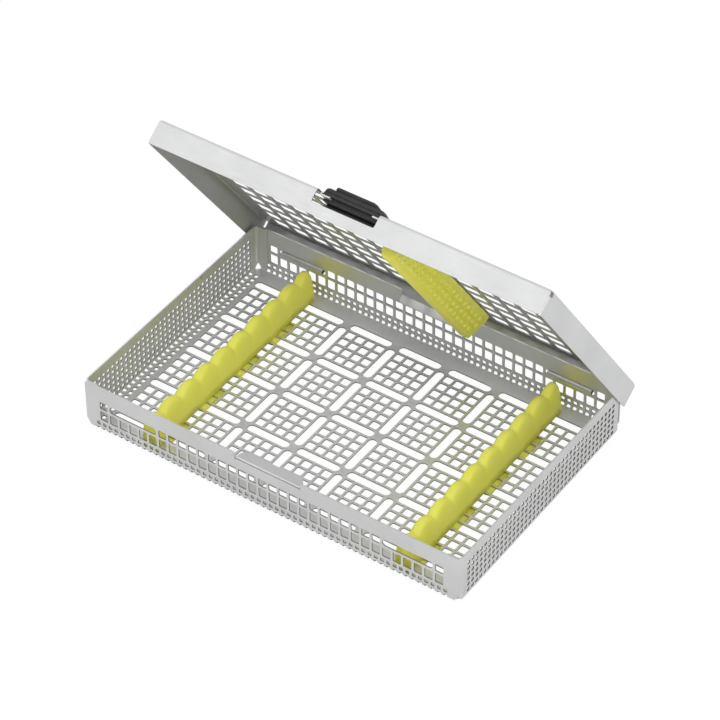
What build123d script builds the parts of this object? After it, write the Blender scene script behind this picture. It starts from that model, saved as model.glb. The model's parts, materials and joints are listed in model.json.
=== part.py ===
from build123d import *
import math
import os

# Perforated steel instrument basket: a folded tray, a hinged lid that closes over it,
# silicone holder bars and a sliding latch.
# Frame: +X along the length, +Y to the hinge, +Z up. The origin is under the middle of the
# whole basket with its lid open, on the surface that the feet of the silicone bars stand on.

os.makedirs("parts", exist_ok=True)

# Sheet and bends
sheet = 0.8
bend_radius = 1.6
corner_radius = 3.0
corner_tab = 6.5
lap_gap = 0.1
relief_gap = 1.0

# Tray
tray_length = 276.0
tray_depth = 181.2
tray_height = 35.7
long_wall_end_gap = 0.5
lower_corner_cut = 4.1
lower_corner_rise = 6.0
rim_corner_radius = 1.6

# Floor perforation: tiles of square holes with long slots between them. Three coarser squares
# a side stand for the real four of 5.3 mm, and the ends of the slots are square
tile = 37.5
holes_per_tile = 3
hole = 6.6
slot_length = 31.0
slot_width = 5.8

# Long wall slots that take the hinge knuckles
wall_slot_length = 36.0
wall_slot_height = 5.4
wall_slot_inset = 36.8
wall_slot_z = 20.7

# Wall perforation: each opening stands for a group of small ones with the same open area, three
# squares side by side in the long walls and five by three pin holes in the side walls
wall_hole_pitch = 22.5
wall_hole_length = 17.7
wall_row_margin = 11.0
lower_row_z = 12.5
lower_row_height = 7.5
upper_row_height = 5.9
side_hole_length = 13.5
side_row_pitch = 13.5
side_hole_height = 8.1
side_rows_z = 15.5

# Flaps bent inward at the middle of both long walls
flap_length = 46.8
flap_depth = 8.0
flap_drop = 3.8
flap_bend = 1.6
flap_corner = 5.0
slit_width = 0.8

# Lid
lid_open = 55.3
lid_side_gap = 1.2
lid_front_gap = 1.9
lid_front_end_gap = 1.0
lid_rest_gap = 0.3
lid_wall_height = 16.2
lid_bend = 2.0
rear_flange_height = 12.6
lid_hole = 12.0
lid_hole_pitch = 15.2
lid_front_border = 13.9
lid_side_border = 8.0
lid_rear_border = 6.0

# Hinge knuckles, rolled on the hinge axis
knuckle_width = 32.0
knuckle_gap = 0.3
knuckle_opening = 60.0

# Silicone bars
bar_end_gap = 5.85
bar_width = 12.8
bar_height = 21.8
bar_side_angle = 80.0
hump_pitch = 18.4
hump_rise = 5.0
foot_thickness = 1.6
foot_width = 18.6
foot_length = 24.0
foot_offset = 10.5
stem_gap = 0.3
press_bar_column = 2
press_bar_width = 10.6
press_bar_height = 14.3
press_swing_gap = 0.6
press_bar_chamfer = 2.4
retainer_width = 11.4
retainer_length = 14.6
retainer_thickness = 1.8

# Latch
cutout_width = 42.0
cutout_depth = 12.0
window_drop = 9.0
guide_reach = 6.0
guide_drop = 1.8
guide_end_gap = 1.2
latch_gap = 0.4
latch_side_gap = 0.4
latch_travel = 4.0
latch_set_back = 4.0
latch_top_depth = 13.6
latch_top_height = 4.2
latch_tail_height = 3.0
grip_width = 25.0
grip_height = 3.4
grip_depth = 7.4
latch_round = 0.8
neck_depth = 4.0
nose_reach = 3.7
nose_thickness = 1.9
leg_thickness = 2.8

# Derived places
pitch = tile / (holes_per_tile + 1)
tiles_x = int((tray_length - 2 * bend_radius) // tile)
tiles_y = int((tray_depth - 2 * bend_radius) // tile)
floor_z = foot_thickness
rim_z = floor_z + tray_height
half_length = tray_length / 2
half_depth = tray_depth / 2
long_wall_half = half_length - long_wall_end_gap
short_wall_half = half_depth - sheet - lap_gap - corner_radius
hinge_y = half_depth - sheet / 2
hinge_z = floor_z + wall_slot_z
wall_slot_x = half_length - wall_slot_inset
lower_row_count = int(2 * (long_wall_half - wall_row_margin) // wall_hole_pitch)
upper_row_count = int((2 * wall_slot_x - wall_slot_length) // wall_hole_pitch)
side_column_count = int(2 * short_wall_half // wall_hole_pitch)
bar_x = (tiles_x / 2 - 1) * tile
bar_length = tray_depth - 2 * bar_end_gap
hump_count = int(bar_length // hump_pitch)
lid_half_length = half_length + lid_side_gap + sheet
lid_under = rim_z + lid_rest_gap - hinge_z
lid_top = lid_under + sheet
lid_front_y = -(half_depth + lid_front_gap + sheet) - hinge_y
knuckle_radius = wall_slot_height / 2 - knuckle_gap
lid_rear_y = knuckle_radius
lid_edge_z = lid_top - lid_wall_height
lid_web = lid_hole_pitch - lid_hole
lid_holes_x = int((2 * (lid_half_length - lid_side_border) + lid_web) // lid_hole_pitch)
lid_holes_room = lid_rear_y - lid_rear_border - lid_front_y - lid_front_border
lid_holes_y = int((lid_holes_room + lid_web) // lid_hole_pitch)
lid_first_row = lid_front_y + lid_front_border + lid_hole / 2
lid_middle_row = lid_first_row + (lid_holes_y - 1) * lid_hole_pitch / 2
flap_top = rim_z - flap_drop
latch_width = cutout_width - 2 * latch_side_gap

# Frames: the tray's own, and the lid's, which swings about the hinge axis. The open lid
# reaches behind the tray, so the tray stands a little forward of the origin
lid_swing = math.radians(lid_open)
bend_swing_y = (lid_rear_y - lid_bend) * math.cos(lid_swing) + (lid_top - lid_bend) * math.sin(lid_swing)
rear_reach = hinge_y + bend_swing_y + lid_bend
tray_y = (half_depth - rear_reach) / 2
tray_frame = Plane(origin=(0, tray_y, 0), x_dir=(1, 0, 0), z_dir=(0, 0, 1))
lid_frame = Plane(
    origin=(0, tray_y + hinge_y, hinge_z),
    x_dir=(1, 0, 0),
    z_dir=(0, math.sin(lid_swing), math.cos(lid_swing)),
)


def level(frame, height):
    """Plane parallel to the sheet, with X and Y of the frame."""
    return frame.offset(height)


def side_view(frame, x=0.0):
    """Plane across the length, with Y and Z of the frame as its own X and Y."""
    origin = frame.from_local_coords(Vector(x, 0, 0))
    return Plane(origin=origin, x_dir=frame.y_dir, z_dir=frame.x_dir)


def front_view(frame, y=0.0):
    """Plane across the depth, with X and Z of the frame as its own X and Y, facing forward."""
    origin = frame.from_local_coords(Vector(0, y, 0))
    return Plane(origin=origin, x_dir=frame.x_dir, z_dir=-frame.y_dir)


def folded_wall(outside, base, edge, radius, inward):
    """Mid-line of a wall with its bend: from the flat sheet at base, round to the free edge."""
    middle = radius - sheet / 2
    upward = 1 if edge > base else -1
    foot = (outside + inward * radius, base + upward * sheet / 2)
    knee = (outside + inward * sheet / 2, base + upward * radius)
    centre = (outside + inward * radius, base + upward * radius)
    turn = math.radians(45)
    elbow = (
        centre[0] - inward * middle * math.cos(turn),
        centre[1] - upward * middle * math.sin(turn),
    )
    with BuildLine() as path:
        ThreePointArc(foot, elbow, knee)
        Line(knee, (outside + inward * sheet / 2, edge))
    return path.line


def corner_return(x_outside, y_outside, x_side, y_side):
    """Mid-line of a corner return: a quarter bend, then the tab that laps inside the long wall."""
    middle = corner_radius - sheet / 2
    centre = (x_outside - x_side * corner_radius, y_outside - y_side * corner_radius)
    start = (x_outside - x_side * sheet / 2, centre[1])
    finish = (centre[0], y_outside - y_side * sheet / 2)
    turn = math.radians(45)
    elbow = (
        centre[0] + x_side * middle * math.cos(turn),
        centre[1] + y_side * middle * math.sin(turn),
    )
    with BuildLine() as path:
        ThreePointArc(start, elbow, finish)
        Line(finish, (finish[0] - x_side * corner_tab, finish[1]))
    return path.line


def bent_flap(outside, inward):
    """Mid-line of a flap: up from the wall, round and inward."""
    middle = flap_bend - sheet / 2
    foot = (outside + inward * sheet / 2, flap_top - flap_bend)
    knee = (outside + inward * flap_bend, flap_top - sheet / 2)
    turn = math.radians(45)
    elbow = (
        outside + inward * (flap_bend - middle * math.cos(turn)),
        flap_top - flap_bend + middle * math.sin(turn),
    )
    with BuildLine() as path:
        ThreePointArc(foot, elbow, knee)
        Line(knee, (outside + inward * flap_depth, flap_top - sheet / 2))
    return path.line


def finish_piece(builder, name):
    """Label a finished piece and write it."""
    builder.part.label = name
    export_step(builder.part, f"parts/{name}.step")


# Tray floor, between the bend lines
with BuildPart() as tray_floor:
    with BuildSketch(level(tray_frame, floor_z)) as floor_outline:
        Rectangle(tray_length - 2 * bend_radius, tray_depth - 2 * bend_radius)
        chamfer(floor_outline.vertices(), lower_corner_cut - bend_radius)
        with GridLocations(tile, tile, tiles_x, tiles_y):
            with GridLocations(pitch, pitch, holes_per_tile, holes_per_tile):
                Rectangle(hole, hole, mode=Mode.SUBTRACT)
        with GridLocations(tile, tile, tiles_x, tiles_y + 1):
            Rectangle(slot_length, slot_width, mode=Mode.SUBTRACT)
        with GridLocations(tile, tile, tiles_x - 1, tiles_y):
            Rectangle(slot_width, slot_length, mode=Mode.SUBTRACT)
    extrude(amount=sheet)
finish_piece(tray_floor, "tray_floor")


# Front and back walls come from the same blank, turned end for end
def long_wall(y_side):
    outside = y_side * half_depth
    with BuildPart() as wall:
        with BuildSketch(side_view(tray_frame)):
            trace(folded_wall(outside, floor_z, rim_z, bend_radius, -y_side), sheet)
        extrude(amount=long_wall_half, both=True)
        with BuildSketch(front_view(tray_frame)):
            with BuildLine():
                Polyline(
                    (-long_wall_half, rim_z),
                    (-long_wall_half, floor_z + lower_corner_rise),
                    (-long_wall_half + lower_corner_cut, floor_z),
                    (long_wall_half - lower_corner_cut, floor_z),
                    (long_wall_half, floor_z + lower_corner_rise),
                    (long_wall_half, rim_z),
                    close=True,
                )
            make_face()
            with Locations((0, rim_z)):
                Rectangle(
                    flap_length + 2 * slit_width,
                    2 * (flap_drop + flap_bend),
                    mode=Mode.SUBTRACT,
                )
            with Locations((-wall_slot_x, hinge_z), (wall_slot_x, hinge_z)):
                SlotOverall(wall_slot_length, wall_slot_height, mode=Mode.SUBTRACT)
            with Locations((0, floor_z + lower_row_z)):
                with GridLocations(wall_hole_pitch, lower_row_height, lower_row_count, 1):
                    Rectangle(wall_hole_length, lower_row_height, mode=Mode.SUBTRACT)
            with Locations((0, hinge_z)):
                with GridLocations(wall_hole_pitch, upper_row_height, upper_row_count, 1):
                    Rectangle(wall_hole_length, upper_row_height, mode=Mode.SUBTRACT)
        extrude(amount=tray_depth, both=True, mode=Mode.INTERSECT)
        rim_corners = wall.edges().filter_by(Axis.Y).group_by(Axis.Z)[-1]
        fillet([rim_corners.sort_by(Axis.X)[0], rim_corners.sort_by(Axis.X)[-1]], rim_corner_radius)
    return wall


for y_side, name in ((-1, "tray_front_wall"), (1, "tray_back_wall")):
    finish_piece(long_wall(y_side), name)


# Side walls stop where their corner returns begin
def short_wall(x_side):
    outside = x_side * half_length
    with BuildPart() as wall:
        with BuildSketch(front_view(tray_frame)):
            trace(folded_wall(outside, floor_z, rim_z, bend_radius, -x_side), sheet)
        extrude(amount=short_wall_half, both=True)
        with BuildSketch(side_view(tray_frame)):
            with Locations((0, floor_z + side_rows_z)):
                with GridLocations(wall_hole_pitch, side_row_pitch, side_column_count, 2):
                    Rectangle(side_hole_length, side_hole_height)
        extrude(amount=tray_length, both=True, mode=Mode.SUBTRACT)
    return wall


for x_side, name in ((-1, "tray_left_wall"), (1, "tray_right_wall")):
    finish_piece(short_wall(x_side), name)


# Corner returns: the ends of the side walls, bent round inside the long walls
def tray_corner(x_side, y_side):
    y_outside = y_side * (half_depth - sheet - lap_gap)
    bottom = floor_z + lower_corner_rise
    with BuildPart() as corner:
        with BuildSketch(level(tray_frame, bottom)):
            trace(corner_return(x_side * half_length, y_outside, x_side, y_side), sheet)
        extrude(amount=rim_z - bottom)
    return corner


for y_side, end in ((-1, "front"), (1, "back")):
    for x_side, hand in ((-1, "left"), (1, "right")):
        finish_piece(tray_corner(x_side, y_side), f"tray_corner_{end}_{hand}")


# Flaps: the front one is what the latch hooks under
def flap(y_side):
    with BuildPart() as piece:
        with BuildSketch(side_view(tray_frame)):
            trace(bent_flap(y_side * half_depth, -y_side), sheet)
        extrude(amount=flap_length / 2, both=True)
        fillet(piece.edges().filter_by(Axis.Z), flap_corner)
    return piece


for y_side, name in ((-1, "tray_front_catch"), (1, "tray_back_flap")):
    finish_piece(flap(y_side), name)


# Holder bars: a row of humps along the depth, held by feet below the floor
def hump_outline():
    """Side outline of a bar: a flat foot, two upright ends and a row of arched humps."""
    bottom = floor_z + sheet
    valley = bottom + bar_height - hump_rise
    crest = bottom + bar_height
    end = bar_length / 2
    row_start = -hump_pitch * hump_count / 2
    with BuildLine() as outline:
        Polyline((row_start, valley), (-end, valley), (-end, bottom), (end, bottom), (end, valley),
                 (-row_start, valley))
        for hump in range(hump_count):
            front = row_start + hump * hump_pitch
            middle = front + hump_pitch / 2
            ThreePointArc((front, valley), (middle, crest), (front + hump_pitch, valley))
    return outline.line


def holder_bar(x_side):
    x_middle = x_side * bar_x
    floor_top = floor_z + sheet
    tile_rows = [(row - (tiles_y - 1) / 2) * tile for row in range(tiles_y)]
    foot_places = [(x_middle, row - foot_offset) for row in tile_rows]
    stem_front = stem_gap - slot_length / 2
    stem_length = foot_length / 2 - foot_offset - stem_front
    stem_places = [(x_middle, row + stem_front + stem_length / 2) for row in tile_rows]
    with BuildPart() as bar:
        with BuildSketch(side_view(tray_frame, x_middle)):
            make_face(hump_outline().edges())
        extrude(amount=bar_width / 2, both=True)
        with BuildSketch(front_view(tray_frame)):
            with Locations((x_middle, floor_top)):
                Trapezoid(bar_width, bar_height, bar_side_angle, align=(Align.CENTER, Align.MIN))
        extrude(amount=tray_depth, both=True, mode=Mode.INTERSECT)
        with BuildSketch(level(tray_frame, 0)):
            with Locations(*foot_places):
                Rectangle(foot_width, foot_length)
        extrude(amount=foot_thickness)
        with BuildSketch(level(tray_frame, foot_thickness)):
            with Locations(*stem_places):
                Rectangle(slot_width - 2 * stem_gap, stem_length)
        extrude(amount=sheet)
    return bar


for x_side, name in ((-1, "left_holder_bar"), (1, "right_holder_bar")):
    finish_piece(holder_bar(x_side), name)


# Lid plate with its coarse square grid and the latch cut-out
plate_front = lid_front_y + lid_bend
plate_rear = lid_rear_y - lid_bend
with BuildPart() as lid_plate:
    with BuildSketch(level(lid_frame, lid_under)):
        with Locations((0, (plate_front + plate_rear) / 2)):
            Rectangle(2 * (lid_half_length - lid_bend), plate_rear - plate_front)
        with Locations((0, lid_middle_row)):
            with GridLocations(lid_hole_pitch, lid_hole_pitch, lid_holes_x, lid_holes_y):
                Rectangle(lid_hole, lid_hole, mode=Mode.SUBTRACT)
        with Locations((0, lid_front_y)):
            Rectangle(cutout_width, 2 * cutout_depth, mode=Mode.SUBTRACT)
    extrude(amount=sheet)
finish_piece(lid_plate, "lid_plate")

# Lid front wall, with the window that the latch shows through
with BuildPart() as lid_front_wall:
    with BuildSketch(side_view(lid_frame)):
        trace(folded_wall(lid_front_y, lid_top, lid_edge_z, lid_bend, 1), sheet)
    extrude(amount=lid_half_length - lid_front_end_gap, both=True)
    with BuildSketch(front_view(lid_frame, lid_front_y)):
        with Locations((0, (lid_top + lid_edge_z) / 2)):
            Rectangle(2 * lid_half_length, lid_wall_height)
        with Locations((0, lid_top)):
            Rectangle(cutout_width, 2 * window_drop, mode=Mode.SUBTRACT)
    extrude(amount=2 * lid_bend, both=True, mode=Mode.INTERSECT)
finish_piece(lid_front_wall, "lid_front_wall")


# Lid side walls
def lid_side_wall(x_side):
    front_end = lid_front_y + sheet + lap_gap + corner_radius
    rear_end = lid_rear_y - sheet - lap_gap
    with BuildPart() as wall:
        with BuildSketch(front_view(lid_frame, rear_end)):
            trace(
                folded_wall(x_side * lid_half_length, lid_top, lid_edge_z, lid_bend, -x_side), sheet
            )
        extrude(amount=rear_end - front_end)
        with BuildSketch(side_view(lid_frame)):
            with Locations((front_end, lid_top), (rear_end, lid_top)):
                Rectangle(2 * relief_gap, 2 * lid_bend)
        extrude(amount=tray_length, both=True, mode=Mode.SUBTRACT)
    return wall


for x_side, name in ((-1, "lid_left_wall"), (1, "lid_right_wall")):
    finish_piece(lid_side_wall(x_side), name)


# Lid front corner returns
def lid_corner(x_side):
    with BuildPart() as corner:
        with BuildSketch(level(lid_frame, lid_edge_z)):
            tab_y = lid_front_y + sheet + lap_gap
            trace(corner_return(x_side * lid_half_length, tab_y, x_side, -1), sheet)
        extrude(amount=lid_wall_height - 2 * lid_bend)
    return corner


for x_side, name in ((-1, "lid_corner_left"), (1, "lid_corner_right")):
    finish_piece(lid_corner(x_side), name)

# Rear flange, behind the tray's back wall
flange_edge_z = lid_top - rear_flange_height
with BuildPart() as lid_rear_flange:
    with BuildSketch(side_view(lid_frame)):
        trace(folded_wall(lid_rear_y, lid_top, flange_edge_z, lid_bend, -1), sheet)
    extrude(amount=lid_half_length - lid_bend, both=True)
finish_piece(lid_rear_flange, "lid_rear_flange")


# Hinge knuckles: tongues of the rear flange, rolled up inside the slots of the back wall
def hinge_knuckle(x_side):
    middle = knuckle_radius - sheet / 2
    roll_end = math.radians(knuckle_opening)
    roll_middle = roll_end / 2 + math.pi
    with BuildPart() as knuckle:
        with BuildSketch(side_view(lid_frame, x_side * wall_slot_x)):
            with BuildLine() as roll:
                Line((middle, flange_edge_z), (middle, 0))
                ThreePointArc(
                    (middle, 0),
                    (middle * math.cos(roll_middle), middle * math.sin(roll_middle)),
                    (middle * math.cos(roll_end), middle * math.sin(roll_end)),
                )
            trace(roll.line, sheet)
        extrude(amount=knuckle_width / 2, both=True)
    return knuckle


for x_side, name in ((-1, "left_hinge_knuckle"), (1, "right_hinge_knuckle")):
    finish_piece(hinge_knuckle(x_side), name)


# Guide tabs at the sides of the cut-out, which the latch slides on
guide_top = lid_top - guide_drop


def guide_tab(x_side):
    side = x_side * cutout_width / 2
    guide_length = cutout_depth - lid_bend - guide_end_gap
    with BuildPart() as tab:
        with BuildSketch(front_view(lid_frame, lid_front_y + cutout_depth)):
            with BuildLine():
                Polyline(
                    (side, lid_under),
                    (side, guide_top),
                    (side - x_side * guide_reach, guide_top),
                    (side - x_side * guide_reach, guide_top - sheet),
                    (side + x_side * sheet, guide_top - sheet),
                    (side + x_side * sheet, lid_under),
                    close=True,
                )
            make_face()
        extrude(amount=guide_length)
    return tab


for x_side, name in ((-1, "left_guide_tab"), (1, "right_guide_tab")):
    finish_piece(guide_tab(x_side), name)

# Press bar under the lid, with studs that fill three of the square holes
press_x = press_bar_column * lid_hole_pitch
press_front = lid_first_row - lid_hole / 2
press_rear = hinge_z - rim_z - press_swing_gap
stud_rows = [0, (lid_holes_y - 1) // 2, lid_holes_y - 2]
stud_places = [(press_x, lid_first_row + row * lid_hole_pitch) for row in stud_rows]
with BuildPart() as lid_press_bar:
    with BuildSketch(front_view(lid_frame, press_rear)) as press_section:
        with Locations((press_x, lid_under)):
            Rectangle(press_bar_width, press_bar_height, align=(Align.CENTER, Align.MAX))
        chamfer(press_section.vertices().group_by(Axis.Y)[0], press_bar_chamfer)
    extrude(amount=press_rear - press_front)
    with BuildSketch(level(lid_frame, lid_under)):
        with Locations(*stud_places):
            Rectangle(lid_hole - 2 * stem_gap, lid_hole - 2 * stem_gap)
    extrude(amount=sheet)
finish_piece(lid_press_bar, "lid_press_bar")

# Retaining plates on the lid, which clamp the studs
with BuildPart() as press_bar_retainers:
    with BuildSketch(level(lid_frame, lid_top)):
        with Locations(*stud_places):
            Rectangle(retainer_width, retainer_length)
    extrude(amount=retainer_thickness)
finish_piece(press_bar_retainers, "press_bar_retainers")

# Latch slider: thumb plate above the lid, neck through the cut-out, hook below
guide_bottom = guide_top - sheet
latch_front = lid_front_y + latch_set_back
latch_under = lid_top + latch_gap
latch_rear = latch_front + latch_top_depth
neck_rear = lid_front_y + cutout_depth - latch_gap
flap_edge = flap_depth - half_depth - hinge_y
leg_front = flap_edge + latch_travel + latch_gap
leg_rear = leg_front + leg_thickness
flange_top = guide_bottom - latch_gap
flange_bottom = flap_top - hinge_z + latch_gap
nose_top = flap_top - sheet - hinge_z - latch_gap
nose_bottom = nose_top - nose_thickness
grip_top = latch_top_height + grip_height
tail_slope = (latch_top_height - latch_tail_height) / latch_top_depth
grip_foot = latch_top_height - tail_slope * grip_depth
with BuildPart() as latch_slider:
    with BuildSketch(side_view(lid_frame)) as thumb_profile:
        with BuildLine():
            Polyline(
                (latch_front, latch_under),
                (latch_front, latch_under + grip_top),
                (latch_front + grip_depth / 2, latch_under + grip_top),
                (latch_front + grip_depth, latch_under + grip_foot),
                (latch_rear, latch_under + latch_tail_height),
                (latch_rear, latch_under),
                close=True,
            )
        make_face()
        fillet(thumb_profile.vertices().group_by(Axis.Y)[-1], latch_round)
    extrude(amount=latch_width, both=True)
    with BuildSketch(front_view(lid_frame, latch_front)) as thumb_front:
        with BuildLine():
            Polyline(
                (-latch_width / 2, guide_top),
                (-latch_width / 2, latch_under + latch_top_height),
                (-grip_width / 2 - grip_height, latch_under + latch_top_height),
                (-grip_width / 2 + grip_height, latch_under + grip_top + grip_height),
                (grip_width / 2 - grip_height, latch_under + grip_top + grip_height),
                (grip_width / 2 + grip_height, latch_under + latch_top_height),
                (latch_width / 2, latch_under + latch_top_height),
                (latch_width / 2, guide_top),
                close=True,
            )
        make_face()
        fillet(thumb_front.vertices().sort_by(Axis.X)[2:-2].sort_by(Axis.Y)[:2], latch_round)
        fillet(thumb_front.vertices().group_by(Axis.X)[0].sort_by(Axis.Y)[-1:], latch_round)
        fillet(thumb_front.vertices().group_by(Axis.X)[-1].sort_by(Axis.Y)[-1:], latch_round)
    extrude(amount=latch_top_depth, both=True, mode=Mode.INTERSECT)
    with BuildSketch(side_view(lid_frame)):
        with Locations(((latch_front + neck_rear) / 2, (guide_top + latch_gap + latch_under) / 2)):
            Rectangle(neck_rear - latch_front, latch_under - guide_top - latch_gap)
    extrude(amount=latch_width / 2, both=True)
    with BuildSketch(side_view(lid_frame)):
        with Locations((neck_rear - neck_depth / 2, (flange_bottom + latch_under) / 2)):
            Rectangle(neck_depth, latch_under - flange_bottom)
    extrude(amount=cutout_width / 2 - guide_reach - latch_gap, both=True)
    with BuildSketch(side_view(lid_frame)):
        with BuildLine():
            Polyline(
                (neck_rear - neck_depth, flange_top),
                (leg_rear, flange_top),
                (leg_rear, nose_bottom),
                (leg_front - nose_reach + nose_thickness / 2, nose_bottom),
                (leg_front - nose_reach, nose_top - nose_thickness / 2),
                (leg_front - nose_reach, nose_top),
                (leg_front, nose_top),
                (leg_front, flange_bottom),
                (neck_rear - neck_depth, flange_bottom),
                close=True,
            )
        make_face()
    extrude(amount=latch_width / 2, both=True)
finish_piece(latch_slider, "latch_slider")
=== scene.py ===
import json
import math
from types import SimpleNamespace

import bmesh
import bpy
import numpy as np
from mathutils import Matrix, Vector
from mathutils.geometry import delaunay_2d_cdt


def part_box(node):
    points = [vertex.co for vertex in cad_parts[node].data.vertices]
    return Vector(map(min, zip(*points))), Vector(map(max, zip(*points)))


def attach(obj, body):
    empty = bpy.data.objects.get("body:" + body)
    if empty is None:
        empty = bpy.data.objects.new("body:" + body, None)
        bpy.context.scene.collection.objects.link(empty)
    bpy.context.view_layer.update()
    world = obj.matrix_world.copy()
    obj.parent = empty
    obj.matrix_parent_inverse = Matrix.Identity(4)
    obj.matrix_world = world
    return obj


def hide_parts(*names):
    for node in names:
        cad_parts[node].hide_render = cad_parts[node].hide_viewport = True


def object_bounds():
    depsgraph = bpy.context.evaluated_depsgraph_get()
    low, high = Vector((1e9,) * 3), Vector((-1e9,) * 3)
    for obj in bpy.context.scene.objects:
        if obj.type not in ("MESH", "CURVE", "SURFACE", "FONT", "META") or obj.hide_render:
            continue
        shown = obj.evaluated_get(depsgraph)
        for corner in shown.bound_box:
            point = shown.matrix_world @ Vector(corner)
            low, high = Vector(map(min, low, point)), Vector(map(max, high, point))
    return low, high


# Perforated steel instrument basket. Both sheets are folded here from their flat blanks.
# Lengths are in metres, angles in radians

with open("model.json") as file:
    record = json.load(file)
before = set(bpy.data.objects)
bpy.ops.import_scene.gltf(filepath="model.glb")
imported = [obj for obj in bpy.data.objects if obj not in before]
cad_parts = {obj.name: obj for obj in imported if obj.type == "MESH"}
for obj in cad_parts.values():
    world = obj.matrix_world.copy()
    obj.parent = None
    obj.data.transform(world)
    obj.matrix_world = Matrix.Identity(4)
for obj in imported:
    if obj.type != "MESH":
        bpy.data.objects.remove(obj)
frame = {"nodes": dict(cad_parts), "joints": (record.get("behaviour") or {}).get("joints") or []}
cad_low, cad_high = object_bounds()

mm = 0.001
RIGHT_ANGLE = math.pi / 2
scene = bpy.context.scene

# Sizes that the frame gives
floor_low, floor_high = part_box("tray_floor")
front_wall_low, front_wall_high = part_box("tray_front_wall")
back_wall_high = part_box("tray_back_wall")[1]
sheet = floor_high.z - floor_low.z
floor_middle_z = (floor_low.z + floor_high.z) / 2
rim_z = front_wall_high.z
tray_middle = Vector((0, (front_wall_low.y + back_wall_high.y) / 2, floor_middle_z))
tray_half_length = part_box("tray_right_wall")[1].x

# The lid's own frame: y to the hinge and z out of the plate, as if the lid were closed
lid_joint = next(joint for joint in frame["joints"] if joint["child"] == "lid")
lid_open = math.radians(lid_joint["range_deg"][1])
hinge = Vector(lid_joint["pos_m"])
lid_place = Matrix.Translation(hinge) @ Matrix.Rotation(-lid_open, 4, "X")


def lid_box(node):
    """Lowest and highest corner of a CAD node in the lid's own frame."""
    points = [lid_place.inverted() @ v.co for v in frame["nodes"][node].data.vertices]
    low = Vector(min(p[axis] for p in points) for axis in range(3))
    high = Vector(max(p[axis] for p in points) for axis in range(3))
    return low, high


# Camera: the photograph's viewing angle, as turned about the middle of the tray's floor
VIEW_AZIMUTH = math.radians(34.557)
VIEW_ELEVATION = math.radians(42.135)
VIEW_ROLL = math.radians(-0.1925)
VIEW_DISTANCE = 2190.7 * mm
VIEW_SHIFT_RIGHT = -4.34 * mm
VIEW_SHIFT_UP = -40.31 * mm
LENS_MM = 176.76
SENSOR_MM = 36.0


def make_camera():
    """Camera at the photograph's angle, its picture shifted as the photograph is cropped."""
    azimuth, elevation, roll = VIEW_AZIMUTH, VIEW_ELEVATION, VIEW_ROLL
    back = Vector((
        math.sin(azimuth) * math.cos(elevation),
        -math.cos(azimuth) * math.cos(elevation),
        math.sin(elevation),
    ))
    level = Vector((math.cos(azimuth), math.sin(azimuth), 0))
    upright = back.cross(level)
    right = math.cos(roll) * level + math.sin(roll) * upright
    up = -math.sin(roll) * level + math.cos(roll) * upright
    target = Vector((tray_middle.x, tray_middle.y, floor_high.z))
    place = target - VIEW_SHIFT_RIGHT * right - VIEW_SHIFT_UP * up + VIEW_DISTANCE * back
    data = bpy.data.cameras.new("camera")
    data.lens = LENS_MM
    data.sensor_width = SENSOR_MM
    camera = bpy.data.objects.new("camera", data)
    scene.collection.objects.link(camera)
    axes = Matrix((right, up, back)).transposed()
    camera.matrix_world = Matrix.Translation(place) @ axes.to_4x4()
    scene.camera = camera


make_camera()


# Small helpers for node materials
def new_material(name):
    material = bpy.data.materials.new(name)
    material.use_nodes = True
    nodes = material.node_tree.nodes
    nodes.clear()
    return material, nodes, material.node_tree.links


def shader_output(nodes, links, shader):
    output = nodes.new("ShaderNodeOutputMaterial")
    links.new(shader.outputs[0], output.inputs["Surface"])


def add_noise(nodes, links, vector, scale, detail=2.0):
    noise = nodes.new("ShaderNodeTexNoise")
    noise.inputs["Scale"].default_value = scale
    noise.inputs["Detail"].default_value = detail
    links.new(vector, noise.inputs["Vector"])
    return noise.outputs["Fac"]


def add_stretch(nodes, links, vector, scale):
    mapping = nodes.new("ShaderNodeMapping")
    mapping.inputs["Scale"].default_value = scale
    links.new(vector, mapping.inputs["Vector"])
    return mapping.outputs["Vector"]


def add_range(nodes, links, value, low, high, from_low=0.3, from_high=0.7):
    span = nodes.new("ShaderNodeMapRange")
    span.inputs["From Min"].default_value = from_low
    span.inputs["From Max"].default_value = from_high
    span.inputs["To Min"].default_value = low
    span.inputs["To Max"].default_value = high
    links.new(value, span.inputs["Value"])
    return span.outputs["Result"]


def add_mix(nodes, links, factor, first, second):
    mix = nodes.new("ShaderNodeMix")
    mix.data_type = "RGBA"
    mix.inputs["A"].default_value = (*first, 1)
    mix.inputs["B"].default_value = (*second, 1)
    links.new(factor, mix.inputs["Factor"])
    return mix.outputs["Result"]


def add_bump(nodes, links, height, distance):
    bump = nodes.new("ShaderNodeBump")
    bump.inputs["Distance"].default_value = distance
    bump.inputs["Strength"].default_value = 1.0
    links.new(height, bump.inputs["Height"])
    return bump.outputs["Normal"]


STEEL_BRIGHT = (0.785, 0.79, 0.79)
STEEL_DULL = (0.72, 0.725, 0.725)
# Dark grey for the painted shade on the holes' walls and the lid's underside
PAINTED_SHADE_STEEL = (0.27, 0.27, 0.27)
SILICONE_DEEP = (0.96, 0.94, 0.11)
SILICONE_PALE = (0.98, 0.96, 0.16)
PLASTIC_DARK = (0.022, 0.022, 0.022)
PLASTIC_WORN = (0.034, 0.034, 0.035)


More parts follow.
